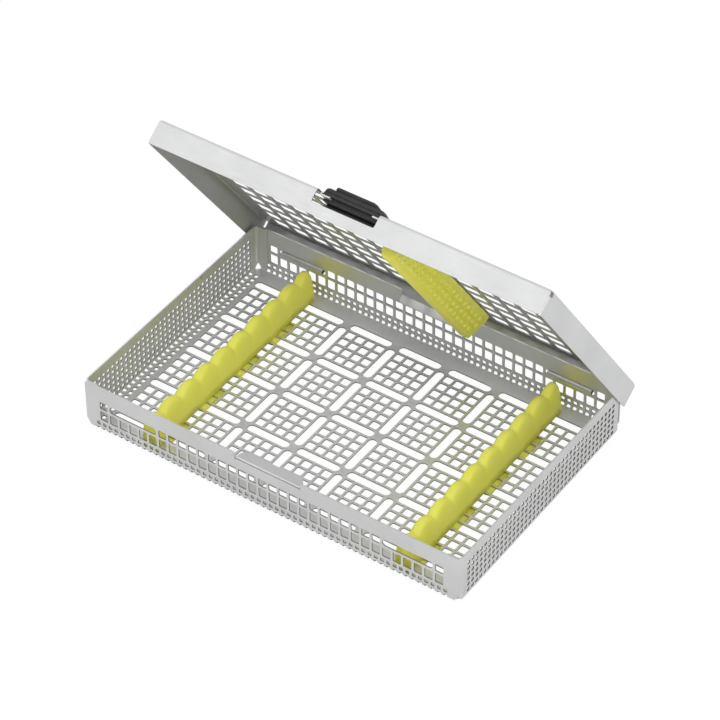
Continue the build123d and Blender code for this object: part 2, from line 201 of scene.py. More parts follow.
def steel_material(name, coordinate):
    """Satin rolled sheet: fine streaks, broad cloudiness, faint grain, and painted shade that darkens
    the holes' walls and the lid's underside.
    """
    material, nodes, links = new_material(name)
    if coordinate == "blank":
        source = nodes.new("ShaderNodeAttribute")
        source.attribute_name = "blank"
        vector = source.outputs["Vector"]
    else:
        vector = nodes.new("ShaderNodeTexCoord").outputs["Object"]
    streaks = add_noise(nodes, links, add_stretch(nodes, links, vector, (60, 2600, 2600)), 1.0, 3.0)
    cloud = add_noise(nodes, links, vector, 28.0, 3.0)
    grain = add_noise(nodes, links, vector, 4200.0, 1.0)
    shader = nodes.new("ShaderNodeBsdfPrincipled")
    shader.inputs["Metallic"].default_value = 0.85
    colour = add_mix(nodes, links, add_range(nodes, links, cloud, 0, 1), STEEL_DULL, STEEL_BRIGHT)
    # Painted shade: this mask mixes the steel towards dark grey on the holes' walls and the lid's
    # underside
    cut = nodes.new("ShaderNodeAttribute")
    cut.attribute_name = "cut"
    darker = nodes.new("ShaderNodeMix")
    darker.data_type = "RGBA"
    links.new(cut.outputs["Fac"], darker.inputs["Factor"])
    links.new(colour, darker.inputs["A"])
    darker.inputs["B"].default_value = (*PAINTED_SHADE_STEEL, 1)
    links.new(darker.outputs["Result"], shader.inputs["Base Color"])
    roughness = add_range(nodes, links, streaks, 0.34, 0.48)
    links.new(roughness, shader.inputs["Roughness"])
    height = nodes.new("ShaderNodeMath")
    height.operation = "ADD"
    links.new(streaks, height.inputs[0])
    links.new(grain, height.inputs[1])
    normal = add_bump(nodes, links, height.outputs[0], 0.006 * mm)
    links.new(normal, shader.inputs["Normal"])
    shader_output(nodes, links, shader)
    return material


def silicone_material():
    """Soft yellow rubber: slightly translucent, matt, with a faint mottle."""
    material, nodes, links = new_material("silicone")
    vector = nodes.new("ShaderNodeTexCoord").outputs["Object"]
    mottle = add_noise(nodes, links, vector, 90.0, 3.0)
    pores = add_noise(nodes, links, vector, 1800.0, 2.0)
    shader = nodes.new("ShaderNodeBsdfPrincipled")
    colour = add_mix(nodes, links, add_range(nodes, links, mottle, 0, 1), SILICONE_DEEP, SILICONE_PALE)
    links.new(colour, shader.inputs["Base Color"])
    links.new(add_range(nodes, links, pores, 0.42, 0.56), shader.inputs["Roughness"])
    shader.inputs["Subsurface Weight"].default_value = 0.2
    shader.inputs["Subsurface Radius"].default_value = (1.0, 1.0, 0.3)
    shader.inputs["Subsurface Scale"].default_value = 2.0 * mm
    links.new(add_bump(nodes, links, pores, 0.02 * mm), shader.inputs["Normal"])
    shader_output(nodes, links, shader)
    return material


def plastic_material():
    """Moulded black plastic with a fine spark texture."""
    material, nodes, links = new_material("latch_plastic")
    vector = nodes.new("ShaderNodeTexCoord").outputs["Object"]
    wear = add_noise(nodes, links, vector, 160.0, 3.0)
    spark = add_noise(nodes, links, vector, 2600.0, 2.0)
    shader = nodes.new("ShaderNodeBsdfPrincipled")
    colour = add_mix(nodes, links, add_range(nodes, links, wear, 0, 1), PLASTIC_DARK, PLASTIC_WORN)
    links.new(colour, shader.inputs["Base Color"])
    links.new(add_range(nodes, links, spark, 0.38, 0.55), shader.inputs["Roughness"])
    links.new(add_bump(nodes, links, spark, 0.02 * mm), shader.inputs["Normal"])
    shader_output(nodes, links, shader)
    return material


sheet_steel = steel_material("sheet_steel", "blank")
small_steel = steel_material("small_steel", "object")
silicone = silicone_material()
latch_plastic = plastic_material()


# Outlines in the flat
TOO_CLOSE = 0.01 * mm


def rounded(corners, steps=2):
    """Closed outline through (x, y, radius) corners, each rounded by an arc of that radius."""
    points = []
    for index, (x, y, radius) in enumerate(corners):
        corner = Vector((x, y))
        if radius == 0:
            points.append(corner)
            continue
        before = (Vector(corners[index - 1][:2]) - corner).normalized()
        after = (Vector(corners[(index + 1) % len(corners)][:2]) - corner).normalized()
        half = before.angle(after) / 2
        centre = corner + (before + after).normalized() * radius / math.sin(half)
        start = corner + before * radius / math.tan(half) - centre
        end = corner + after * radius / math.tan(half) - centre
        sweep = start.angle_signed(end)
        for step in range(steps + 1):
            turn = Matrix.Rotation(-sweep * step / steps, 2)
            points.append(centre + turn @ start)
    clean = []
    for point in points:
        if not clean or (point - clean[-1]).length > TOO_CLOSE:
            clean.append(point)
    if (clean[0] - clean[-1]).length < TOO_CLOSE:
        clean.pop()
    return clean


def opening(x, y, width, height, radius, steps=2):
    """Rectangular opening with rounded corners."""
    right, top = width / 2, height / 2
    return rounded([
        (x - right, y - top, radius),
        (x + right, y - top, radius),
        (x + right, y + top, radius),
        (x - right, y + top, radius),
    ], steps)


def places(count, pitch, middle=0.0):
    """Evenly spaced places about a middle."""
    return [middle + (index - (count - 1) / 2) * pitch for index in range(count)]


# Folding
def bend(along, lift, radius, turn=RIGHT_ANGLE):
    """A bend that starts at along = 0: where a point goes that lies lift above the blank."""
    angle = np.clip(along / radius, 0, turn)
    beyond = np.maximum(along - radius * turn, 0)
    out = np.minimum(along, 0) + (radius - lift) * np.sin(angle) + beyond * np.cos(angle)
    rise = radius - (radius - lift) * np.cos(angle) + beyond * np.sin(angle)
    return out, rise


# A wall's share of a blank's corner begins on a line of this slope
CORNER_SLOPE = 2.0


def wall_of(form, x, y):
    """Which walls a point of the blank belongs to: masks for the front, rear and side walls."""
    over_x = np.abs(x) - form.x_edge
    over_front = form.y_front - y
    over_rear = y - form.y_rear
    front = (over_front > 0) & (over_front > CORNER_SLOPE * over_x)
    rear = (over_rear > 0) & (over_rear > CORNER_SLOPE * over_x)
    side = (over_x > 0) & ~front & ~rear
    return front, rear, side


def fold(form, points, lift):
    """Folded places of points that lie lift above the blank's middle layer."""
    x, y = points[:, 0], points[:, 1]
    front, rear, side = wall_of(form, x, y)
    place = np.column_stack([x, y, np.full(len(x), lift)])
    for wall, edge, sign in ((front, form.y_front, -1), (rear, form.y_rear, 1)):
        over = sign * (y - edge)
        raised = np.full(len(x), lift)
        for tab in form.tabs:
            if tab.sign == sign:
                mine = wall & (np.abs(x - tab.x) < tab.half_width + form.slit / 2)
                out, rise = bend(over - tab.start, raised, tab.radius, tab.turn)
                over = np.where(mine, tab.start + out, over)
                raised = np.where(mine, rise, raised)
        out, rise = bend(over, raised, form.radius)
        place[:, 1] = np.where(wall, edge + sign * out, place[:, 1])
        place[:, 2] = np.where(wall, rise, place[:, 2])
    along, raised = y, np.full(len(x), lift)
    for corner, sign in form.corners:
        out, rise = bend(sign * (y - corner), np.full(len(x), lift), form.corner_radius)
        beyond = sign * (y - corner) > 0
        along = np.where(beyond, corner + sign * out, along)
        raised = np.where(beyond, rise, raised)
    out, rise = bend(np.abs(x) - form.x_edge, raised, form.radius)
    place[:, 0] = np.where(side, np.sign(x) * (form.x_edge + out), place[:, 0])
    place[:, 1] = np.where(side, along, place[:, 1])
    place[:, 2] = np.where(side, rise, place[:, 2])
    return place


BEND_STEPS = 6


def bend_lines(radius, turn=RIGHT_ANGLE, steps=BEND_STEPS):
    """Distances past the start of a bend at which the flat blank is creased."""
    return [radius * turn * step / steps for step in range(steps + 1)]


def crease(flat, point, normal, inside):
    """Cut the faces that inside() picks, by any of their corners, along a straight line."""
    faces = [face for face in flat.faces if any(inside(*vert.co[:2]) for vert in face.verts)]
    edges = {edge for face in faces for edge in face.edges}
    verts = {vert for face in faces for vert in face.verts}
    bmesh.ops.bisect_plane(
        flat, geom=faces + list(edges) + list(verts), dist=1e-7, plane_co=point, plane_no=normal
    )


def cut_blank(form, outline, openings):
    """Flat triangulated blank, creased along every bend."""
    loops = [outline] + openings
    points = [point for loop in loops for point in loop]
    faces, first = [], 0
    for loop in loops:
        faces.append(list(range(first, first + len(loop))))
        first += len(loop)
    places_2d, _, triangles, _, _, sources = delaunay_2d_cdt(points, [], faces, 1, 1e-7)
    flat = bmesh.new()
    verts = [flat.verts.new((p.x, p.y, 0)) for p in places_2d]
    for triangle, source in zip(triangles, sources):
        if list(source) == [0]:
            flat.faces.new([verts[index] for index in triangle])
    for vert in [v for v in flat.verts if not v.link_faces]:
        flat.verts.remove(vert)

    def on_wall(which):
        return lambda x, y: bool(wall_of(form, np.array(x), np.array(y))[which])

    for line in bend_lines(form.radius):
        crease(
            flat, (0, form.y_front - line, 0), (0, 1, 0),
            lambda x, y: y < form.y_front + form.radius,
        )
        crease(
            flat, (0, form.y_rear + line, 0), (0, 1, 0),
            lambda x, y: y > form.y_rear - form.radius,
        )
        for sign in (-1, 1):
            crease(
                flat, (sign * (form.x_edge + line), 0, 0), (1, 0, 0),
                lambda x, y: sign * x > form.x_edge - form.radius,
            )
    for line in bend_lines(form.corner_radius):
        for corner, sign in form.corners:
            crease(flat, (0, corner + sign * line, 0), (0, 1, 0), on_wall(2))
    for tab in form.tabs:
        edge = form.y_rear if tab.sign > 0 else form.y_front
        steps = max(BEND_STEPS, round(tab.turn / RIGHT_ANGLE * BEND_STEPS))
        for line in bend_lines(tab.radius, tab.turn, steps):
            crease(
                flat, (0, edge + tab.sign * (tab.start + line), 0), (0, 1, 0),
                lambda x, y: abs(x - tab.x) < tab.half_width + form.slit,
            )
    return flat


def opening_rims(rims, points):
    """1 for each rim edge that lies round an opening, 0 for those of the outline."""
    after = dict(rims)
    ring_of = {}
    sizes = []
    for start, _ in rims:
        if start in ring_of:
            continue
        ring = []
        vert = start
        while vert not in ring_of:
            ring_of[vert] = len(sizes)
            ring.append(vert)
            vert = after[vert]
        sizes.append(np.ptp(points[ring, 0]))
    outline = int(np.argmax(sizes))
    return np.array([ring_of[start] != outline for start, _ in rims], np.float32)


def folded_sheet(name, form, outline, openings, place):
    """Piece folded from its blank, with the sheet's thickness and true surface normals."""
    flat = cut_blank(form, outline, openings)
    flat.verts.index_update()
    points = np.array([v.co[:2] for v in flat.verts])
    count = len(points)
    faces = [[v.index for v in face.verts] for face in flat.faces]
    rims = []
    for face in flat.faces:
        for loop in face.loops:
            if len(loop.edge.link_faces) == 1:
                rims.append((loop.vert.index, loop.link_loop_next.vert.index))
    flat.free()
    inner = fold(form, points, sheet / 2)
    outer = fold(form, points, -sheet / 2)
    inward = fold(form, points, sheet / 2 + TOO_CLOSE) - inner
    inward /= np.linalg.norm(inward, axis=1)[:, None]
    vertices = np.vstack([inner, outer])
    vertices[:, 2] *= form.inside
    inward[:, 2] *= form.inside
    sides = [(a, a + count, b + count, b) for a, b in rims]
    everything = faces + [[index + count for index in reversed(face)] for face in faces] + sides
    normals = np.vstack([inward, -inward])
    if form.inside < 0:
        everything = [list(reversed(face)) for face in everything]
    loop_normals = []
    for index, face in enumerate(everything):
        if index < 2 * len(faces):
            loop_normals.extend(normals[face])
        else:
            a, b, c = (vertices[vertex] for vertex in face[:3])
            flat_normal = np.cross(b - a, c - b)
            loop_normals.extend([flat_normal / max(np.linalg.norm(flat_normal), 1e-12)] * len(face))
    turned = np.array(place.to_3x3())
    world = vertices @ turned.T + np.array(place.translation)
    mesh = bpy.data.meshes.new(name)
    mesh.from_pydata(world.tolist(), [], everything)
    mesh.polygons.foreach_set("use_smooth", np.ones(len(everything), bool))
    blank = mesh.attributes.new("blank", "FLOAT_VECTOR", "POINT")
    flat_places = np.zeros((2 * count, 3))
    flat_places[:count, :2] = points
    flat_places[count:, :2] = points
    blank.data.foreach_set("vector", flat_places.ravel())
    cut = mesh.attributes.new("cut", "FLOAT", "FACE")
    painted_shade_faces = np.zeros(len(everything), np.float32)
    # Painted shade mask: the inner layer takes the form's share (part strength on the lid's underside,
    # none in the tray)
    painted_shade_faces[:len(faces)] = form.inner_cut
    # Every opening's wall takes painted shade in full, for the shade inside the holes; the outline's
    # edges stay bright
    painted_shade_faces[2 * len(faces):] = opening_rims(rims, points)
    cut.data.foreach_set("value", painted_shade_faces)
    mesh.normals_split_custom_set((np.array(loop_normals) @ turned.T).tolist())
    mesh.materials.append(sheet_steel)
    piece = bpy.data.objects.new(name, mesh)
    scene.collection.objects.link(piece)
    return piece


# Tray
TILE = 37.5 * mm
SQUARE = 5.85 * mm
SQUARE_PITCH = 7.5 * mm
SQUARE_ROUND = 0.8 * mm
SLOT_LENGTH = 31.0 * mm
LOW_ROW_HEIGHT = 7.5 * mm
LOW_ROW_Z = 14.15 * mm
HIGH_ROW_Z = 22.43 * mm
WALL_SQUARES = 34
PIN_HOLE = 2.7 * mm
PIN_PITCH = 4.5 * mm
PIN_ROUND = 0.55 * mm
SIDE_PIN_Z = 5.85 * mm
LONG_PIN_Z = 7.05 * mm
HINGE_SLOT_X = 101.2 * mm
HINGE_SLOT_Z = 22.3 * mm
HINGE_SLOT_LENGTH = 36 * mm
HINGE_SLOT_HEIGHT = 5.4 * mm
HINGE_SLOT_ROUND = 2.6 * mm
CORNER_CUT = 2.5 * mm
RETURN_LAP = 6.5 * mm
tray_radius = tray_half_length - floor_high.x - sheet / 2
tray_form = SimpleNamespace(
    x_edge=floor_high.x,
    y_front=floor_low.y - tray_middle.y,
    y_rear=floor_high.y - tray_middle.y,
    radius=tray_radius,
    inside=1,
    slit=0.8 * mm,
    corner_radius=2.6 * mm,
    inner_cut=0.0,
)
wall_run = tray_radius * RIGHT_ANGLE
wall_foot_z = floor_middle_z + tray_radius
tray_wall = wall_run + rim_z - wall_foot_z
flap_low, flap_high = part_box("tray_front_catch")
flap_half = flap_high.x
flap_reach = flap_high.y - flap_low.y
flap_radius = flap_high.z - flap_low.z - sheet / 2
flap_start = wall_run + flap_low.z - wall_foot_z
corner_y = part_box("tray_left_wall")[1].y - tray_middle.y
tray_form.corners = [(-corner_y, -1), (corner_y, 1)]
tray_form.tabs = [
    SimpleNamespace(
        x=0, half_width=flap_half, sign=sign, start=flap_start, radius=flap_radius, turn=RIGHT_ANGLE
    )
    for sign in (-1, 1)
]


def wall_height(z):
    """Distance from the tray's bend line up a wall to a height."""
    return wall_run + z - wall_foot_z


def tray_outline():
    """The tray's blank: one quarter, from a flap's end to a side wall's middle, mirrored twice."""
    wide = front_wall_high.x
    edge_x, edge_y = tray_form.x_edge, tray_form.y_rear
    flap_end = flap_start + flap_radius * RIGHT_ANGLE + flap_reach - flap_radius - sheet / 2
    lip = flap_half + tray_form.slit
    return_low = wall_height(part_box("tray_corner_back_right")[0].z)
    return_y = corner_y + tray_form.corner_radius * RIGHT_ANGLE
    tab_y = return_y + RETURN_LAP
    back_right = [
        (flap_half, edge_y + flap_end, 5 * mm),
        (flap_half, edge_y + flap_start, 0),
        (lip, edge_y + flap_start, 0),
        (lip, edge_y + tray_wall, 1.2 * mm),
        (wide, edge_y + tray_wall, 1.6 * mm),
        (wide, edge_y + return_low, 1.5 * mm),
        (edge_x - CORNER_CUT, edge_y, 0),
        (edge_x, edge_y - CORNER_CUT, 0),
        (edge_x + return_low, return_y, 1.5 * mm),
        (edge_x + return_low, tab_y, 1.0 * mm),
        (edge_x + tray_wall, tab_y, 1.0 * mm),
    ]
    front_right = [(x, -y, r) for x, y, r in reversed(back_right)]
    front_left = [(-x, -y, r) for x, y, r in back_right]
    back_left = [(-x, y, r) for x, y, r in reversed(back_right)]
    return rounded(list(reversed(back_right + front_right + front_left + back_left)), 3)


def tray_openings():
    """The floor's tiles of squares between slots, and the rows of holes up the walls."""
    openings = []
    slot_round = SQUARE / 2 - TOO_CLOSE
    for tile_x in places(7, TILE):
        for tile_y in places(4, TILE):
            for x in places(4, SQUARE_PITCH, tile_x):
                for y in places(4, SQUARE_PITCH, tile_y):
                    openings.append(opening(x, y, SQUARE, SQUARE, SQUARE_ROUND))
        for y in places(5, TILE):
            openings.append(opening(tile_x, y, SLOT_LENGTH, SQUARE, slot_round, 5))
    for x in places(6, TILE):
        for y in places(4, TILE):
            openings.append(opening(x, y, SQUARE, SLOT_LENGTH, slot_round, 5))
    side_rows = [wall_height(SIDE_PIN_Z) + row * PIN_PITCH for row in range(-2, 6)]
    pin_rows = (wall_height(LONG_PIN_Z), wall_height(LONG_PIN_Z) - PIN_PITCH)
    for sign in (-1, 1):
        for row in side_rows:
            x = sign * (tray_form.x_edge + row)
            for y in places(37, PIN_PITCH):
                openings.append(opening(x, y, PIN_HOLE, PIN_HOLE, PIN_ROUND))
        for row in pin_rows:
            y = sign * (tray_form.y_rear + row)
            for x in places(58, PIN_PITCH):
                openings.append(opening(x, y, PIN_HOLE, PIN_HOLE, PIN_ROUND))
        low_row = sign * (tray_form.y_rear + wall_height(LOW_ROW_Z))
        high_row = sign * (tray_form.y_rear + wall_height(HIGH_ROW_Z))
        for index, x in enumerate(places(WALL_SQUARES, SQUARE_PITCH)):
            openings.append(opening(x, low_row, SQUARE, LOW_ROW_HEIGHT, SQUARE_ROUND))
            if index in (0, WALL_SQUARES - 1) or 6 <= index <= 27:
                openings.append(opening(x, high_row, SQUARE, SQUARE, SQUARE_ROUND))
        slot_row = sign * (tray_form.y_rear + wall_height(HINGE_SLOT_Z))
        for x in (-HINGE_SLOT_X, HINGE_SLOT_X):
            openings.append(opening(
                x, slot_row, HINGE_SLOT_LENGTH, HINGE_SLOT_HEIGHT, HINGE_SLOT_ROUND, 5
            ))
    return openings


tray_sheet = folded_sheet(
    "tray_sheet", tray_form, tray_outline(), tray_openings(), Matrix.Translation(tray_middle)
)
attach(tray_sheet, "tray")
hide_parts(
    "tray_floor", "tray_front_wall", "tray_back_wall", "tray_left_wall",
    "tray_right_wall", "tray_corner_front_left", "tray_corner_front_right",
    "tray_corner_back_left", "tray_corner_back_right", "tray_front_catch", "tray_back_flap",
)

# Lid
LID_SQUARE = 12.0 * mm
LID_PITCH = 15.2 * mm
LID_SQUARE_ROUND = 1.2 * mm
LID_COLUMNS = 17
LID_ROWS = 11
LID_MARGIN = 13.9 * mm
WINDOW_LEFT = -23.4 * mm
WINDOW_RIGHT = 21.0 * mm
WINDOW_DEPTH = 12.0 * mm
WINDOW_SILL = 7.1 * mm
WINDOW_ROUND = 1.0 * mm
BEND_RELIEF = 1.0 * mm
KNUCKLE_ROLL = math.radians(300)
plate_low, plate_high = lid_box("lid_plate")
lid_front_low, lid_front_high = lid_box("lid_front_wall")
lid_side_low, lid_side_high = lid_box("lid_right_wall")
lid_rear_low = lid_box("lid_rear_flange")[0]
lid_corner_high = lid_box("lid_corner_right")[1]
knuckle_low, knuckle_high = lid_box("right_hinge_knuckle")
lid_middle_z = plate_high.z - sheet / 2
lid_radius = lid_side_high.x - plate_high.x - sheet / 2
lid_run = lid_radius * RIGHT_ANGLE
lid_form = SimpleNamespace(
    x_edge=plate_high.x,
    y_front=plate_low.y,
    y_rear=plate_high.y,
    radius=lid_radius,
    inside=-1,
    slit=0.2 * mm,
    corner_radius=2.6 * mm,
    # Part-strength painted shade over the whole underside of the lid
    inner_cut=0.45,
)
roll_radius = knuckle_high.y - sheet / 2
knuckle_x = (knuckle_low.x + knuckle_high.x) / 2
knuckle_half = (knuckle_high.x - knuckle_low.x) / 2
lid_form.corners = [(lid_side_low.y, -1)]
lid_form.tabs = [
    SimpleNamespace(
        x=x, half_width=knuckle_half, sign=1, start=lid_run + lid_middle_z - lid_radius,
        radius=roll_radius, turn=KNUCKLE_ROLL,
    )
    for x in (-knuckle_x, knuckle_x)
]


def lid_drop(z):
    """Distance from the lid's bend line down a wall to a height."""
    return lid_run + lid_middle_z - lid_radius - z


def lid_outline():
    """The lid's blank: its right half, from the front's middle to the rear's, mirrored."""
    edge_x = lid_form.x_edge
    front, rear = lid_form.y_front, lid_form.y_rear
    wide = lid_front_high.x
    drop = lid_drop(lid_front_low.z)
    side_drop = lid_drop(lid_side_low.z)
    rear_drop = lid_drop(lid_rear_low.z)
    roll_end = lid_form.tabs[0].start + roll_radius * lid_form.tabs[0].turn
    tab_y = lid_side_low.y - lid_form.corner_radius * RIGHT_ANGLE - RETURN_LAP
    return_top = lid_drop(lid_corner_high.z)
    right = [
        (wide, front - drop, 2.0 * mm),
        (wide, front - lid_run * 0.95, 0),
        (edge_x, front, 0),
        (edge_x, front + BEND_RELIEF, 0),
        (edge_x + return_top, lid_side_low.y, 0),
        (edge_x + return_top, tab_y, 0.6 * mm),
        (edge_x + side_drop, tab_y, 0.6 * mm),
        (edge_x + side_drop, lid_side_high.y, 1.0 * mm),
        (edge_x + lid_run, lid_side_high.y, 0),
        (edge_x, rear - BEND_RELIEF, 0),
        (edge_x, rear + rear_drop, 1.0 * mm),
        (knuckle_x + knuckle_half, rear + rear_drop, 0),
        (knuckle_x + knuckle_half, rear + roll_end, 0),
        (knuckle_x - knuckle_half, rear + roll_end, 0),
        (knuckle_x - knuckle_half, rear + rear_drop, 0),
    ]
    left = [(-x, y, radius) for x, y, radius in reversed(right)]
    return rounded(right + left, 3)


def lid_openings():
    """The lid's grid of squares, and the latch window across its front bend."""
    first_row = lid_front_low.y + LID_MARGIN + LID_SQUARE / 2
    openings = []
    for x in places(LID_COLUMNS, LID_PITCH):
        for row in range(LID_ROWS):
            y = first_row + row * LID_PITCH
            openings.append(opening(x, y, LID_SQUARE, LID_SQUARE, LID_SQUARE_ROUND, 3))
    window_rear = lid_front_low.y + WINDOW_DEPTH
    window_front = lid_form.y_front - lid_drop(WINDOW_SILL)
    openings.append(opening(
        (WINDOW_LEFT + WINDOW_RIGHT) / 2, (window_rear + window_front) / 2,
        WINDOW_RIGHT - WINDOW_LEFT, window_rear - window_front, WINDOW_ROUND,
    ))
    return openings


lid_sheet_place = lid_place @ Matrix.Translation((0, 0, lid_middle_z))
lid_sheet = folded_sheet("lid_sheet", lid_form, lid_outline(), lid_openings(), lid_sheet_place)
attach(lid_sheet, "lid")
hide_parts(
    "lid_plate", "lid_front_wall", "lid_left_wall", "lid_right_wall",
    "lid_corner_left", "lid_corner_right", "lid_rear_flange",
    "left_hinge_knuckle", "right_hinge_knuckle",
)


# Soft bars
def loft(name, rings, body):
    """Silicone bar through rings of points, with both ends capped."""
    count = len(rings[0])
    mesh = bpy.data.meshes.new(name)
    vertices = [Vector(point) for ring in rings for point in ring]
    faces = [list(range(count))]
    for ring in range(len(rings) - 1):
        for index in range(count):
            after = (index + 1) % count
            low, high = ring * count, (ring + 1) * count
            faces.append([low + index, high + index, high + after, low + after])
    faces.append([(len(rings) - 1) * count + index for index in reversed(range(count))])
    mesh.from_pydata(vertices, [], faces)
    mesh.polygons.foreach_set("use_smooth", np.ones(len(faces), bool))
    mesh.materials.append(silicone)
    piece = bpy.data.objects.new(name, mesh)
    scene.collection.objects.link(piece)
    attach(piece, body)
    return piece


def join_solids(piece, solids):
    """Add closed solids, given as (vertices, faces), to a piece's mesh."""
    work = bmesh.new()
    work.from_mesh(piece.data)
    for vertices, faces in solids:
        verts = [work.verts.new(v) for v in vertices]
        for face in faces:
            made = work.faces.new([verts[index] for index in face])
            made.smooth = True
    work.normal_update()
    bmesh.ops.recalc_face_normals(work, faces=work.faces)
    work.to_mesh(piece.data)
    work.free()


def slab(low, high, radius):
    """Flat pad with rounded corners, as vertices and faces."""
    outline = opening(
        (low[0] + high[0]) / 2, (low[1] + high[1]) / 2, high[0] - low[0], high[1] - low[1], radius, 3
    )
    count = len(outline)
    vertices = [(p.x, p.y, z) for z in (low[2], high[2]) for p in outline]
    faces = [list(reversed(range(count))), [index + count for index in range(count)]]
    for index in range(count):
        after = (index + 1) % count
        faces.append([index, after, after + count, index + count])
    return vertices, faces


HUMP_PITCH = 18.1 * mm
HUMP_RISE = 5.4 * mm
HUMP_SOFT = 1.1 * mm
HOLDER_HALF_WIDTH = 6.4 * mm
HOLDER_HALF_TOP = 4.7 * mm
HOLDER_END = 2.6 * mm
HOLDER_STATIONS = 108
HOLDER_RING = 24
FOOT_FRONT = 22.5 * mm
FOOT_BACK = 1.5 * mm
NECK_FRONT = 14.9 * mm
NECK_HALF = 2.35 * mm


def hump_drop(y):
    """How far a bar's top lies below its crests, at a distance from the bar's middle."""
    radius = (HUMP_PITCH ** 2 / 4 + HUMP_RISE ** 2) / (2 * HUMP_RISE)
    from_crest = y % HUMP_PITCH - HUMP_PITCH / 2
    drop = radius - math.sqrt(radius ** 2 - from_crest ** 2)
    return HUMP_RISE - math.sqrt((HUMP_RISE - drop) ** 2 + HUMP_SOFT ** 2) + HUMP_SOFT * 0.3


def holder_bar(node):
    """Wavy bar on the tray's floor, with necks through its slots and flat feet below."""
    low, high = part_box(node)
    middle_x = (low.x + high.x) / 2
    middle_y = (low.y + high.y) / 2
    base_z = floor_high.z
    half_length = (high.y - low.y) / 2
    height = high.z - base_z
    rings = []
    for station in range(HOLDER_STATIONS + 1):
        y = -half_length + 2 * half_length * station / HOLDER_STATIONS
        near_end = max(0.0, 1 - (half_length - abs(y)) / HOLDER_END)
        shrink = math.sqrt(max(1 - near_end ** 2, 0.04))
        top = height - max(hump_drop(y), 0)
        top = top * (0.86 + 0.14 * shrink)
        ring = []
        for index in range(HOLDER_RING + 1):
            angle = math.pi * (1 - index / HOLDER_RING)
            level_z = max(math.sin(angle), 0) ** 0.62
            reach = math.copysign(abs(math.cos(angle)) ** 0.55, math.cos(angle))
            half = HOLDER_HALF_WIDTH + (HOLDER_HALF_TOP - HOLDER_HALF_WIDTH) * level_z
            ring.append((
                middle_x + reach * (half - (1 - shrink) * 1.2 * mm),
                middle_y + y,
                base_z + top * level_z,
            ))
        rings.append(ring)
    bar = loft(node + "_silicone", rings, "tray")
    pads = []
    for row in places(4, TILE, middle_y):
        pads.append(slab(
            (low.x, row - FOOT_FRONT, low.z), (high.x, row + FOOT_BACK, floor_low.z), 3 * mm
        ))
        pads.append(slab(
            (middle_x - NECK_HALF, row - NECK_FRONT, floor_low.z),
            (middle_x + NECK_HALF, row + FOOT_BACK, base_z), 1 * mm
        ))
    join_solids(bar, pads)
    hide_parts(node)


for bar_node in ("left_holder_bar", "right_holder_bar"):
    holder_bar(bar_node)


def nub(place, outward, radius):
    """Low round nub on a bar's side, as vertices and faces."""
    spin = outward.to_track_quat("Z", "Y")
    vertices, faces = [], []
    around = 8
    for reach, lift in ((1.0, -0.5), (0.95, 0.15), (0.6, 0.55)):
        for index in range(around):
            turn = 2 * math.pi * index / around
            local = Vector((reach * math.cos(turn), reach * math.sin(turn), lift)) * radius
            vertices.append(place + spin @ local)
    vertices.append(place + spin @ Vector((0, 0, 0.68 * radius)))
    faces.append(list(reversed(range(around))))
    for ring in (0, 1):
        for index in range(around):
            after = (index + 1) % around
            low, high = ring * around, (ring + 1) * around
            faces.append([low + index, low + after, high + after, high + index])
    for index in range(around):
        faces.append([2 * around + index, 2 * around + (index + 1) % around, 3 * around])
    return vertices, faces


PRESS_TOP_HALF = 9.0 * mm
PRESS_BOTTOM_HALF = 3.3 * mm
PRESS_DEPTH = 19.0 * mm
PRESS_SHOULDER = 4.5 * mm
NUB_PITCH = 7.6 * mm
NUB_RADIUS = 2.1 * mm
NUB_ROWS = (0.12, 0.41, 0.70)
PRESS_PAD_HALF = 5.5 * mm


def press_bar():
    """Wedge-shaped bar under the lid, with three rows of nubs on both flanks."""
    low, high = lid_box("lid_press_bar")
    middle_x = (low.x + high.x) / 2
    top_z = plate_low.z - 0.3 * mm
    bottom_z = plate_low.z - PRESS_DEPTH
    shoulder_z = plate_low.z - PRESS_SHOULDER
    section = rounded([
        (-PRESS_TOP_HALF, top_z, 0.8 * mm),
        (PRESS_TOP_HALF, top_z, 0.8 * mm),
        (PRESS_TOP_HALF, shoulder_z, 2.0 * mm),
        (PRESS_BOTTOM_HALF, bottom_z, 1.0 * mm),
        (-PRESS_BOTTOM_HALF, bottom_z, 1.0 * mm),
        (-PRESS_TOP_HALF, shoulder_z, 2.0 * mm),
    ], 4)
    middle_z = (top_z + bottom_z) / 2
    ends = [(0.0, 0.93), (0.35 * mm, 0.975), (1.0 * mm, 1.0)]
    spread = [(low.y + reach, scale) for reach, scale in ends]
    spread += [(high.y - reach, scale) for reach, scale in reversed(ends)]
    rings = []
    for y, scale in spread:
        rings.append([
            (middle_x + point.x * scale, y, middle_z + (point.y - middle_z) * scale)
            for point in section
        ])
    bar = loft("press_bar_silicone", rings, "lid")
    flank = Vector((PRESS_BOTTOM_HALF - PRESS_TOP_HALF, 0, bottom_z - shoulder_z))
    solids = []
    for side in (-1, 1):
        outward = Vector((-flank.z * side, 0, flank.x)).normalized()
        for row, share in enumerate(NUB_ROWS):
            place = Vector((PRESS_TOP_HALF, 0, shoulder_z)) + flank * share
            offset = NUB_PITCH / 2 * (row % 2)
            y = low.y + 6 * mm + offset
            while y < high.y - 4 * mm:
                centre = Vector((middle_x + side * place.x, y, place.z))
                solids.append(nub(centre, outward, NUB_RADIUS))
                y += NUB_PITCH
    for y in places(3, (high.y - low.y) * 0.4, (low.y + high.y) / 2):
        pad_low = (middle_x - PRESS_PAD_HALF, y - PRESS_PAD_HALF, top_z - 0.2 * mm)
        pad_high = (middle_x + PRESS_PAD_HALF, y + PRESS_PAD_HALF, plate_low.z)
        solids.append(slab(pad_low, pad_high, 1 * mm))
    join_solids(bar, solids)
    bar.data.transform(lid_place)
    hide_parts("lid_press_bar")


press_bar()


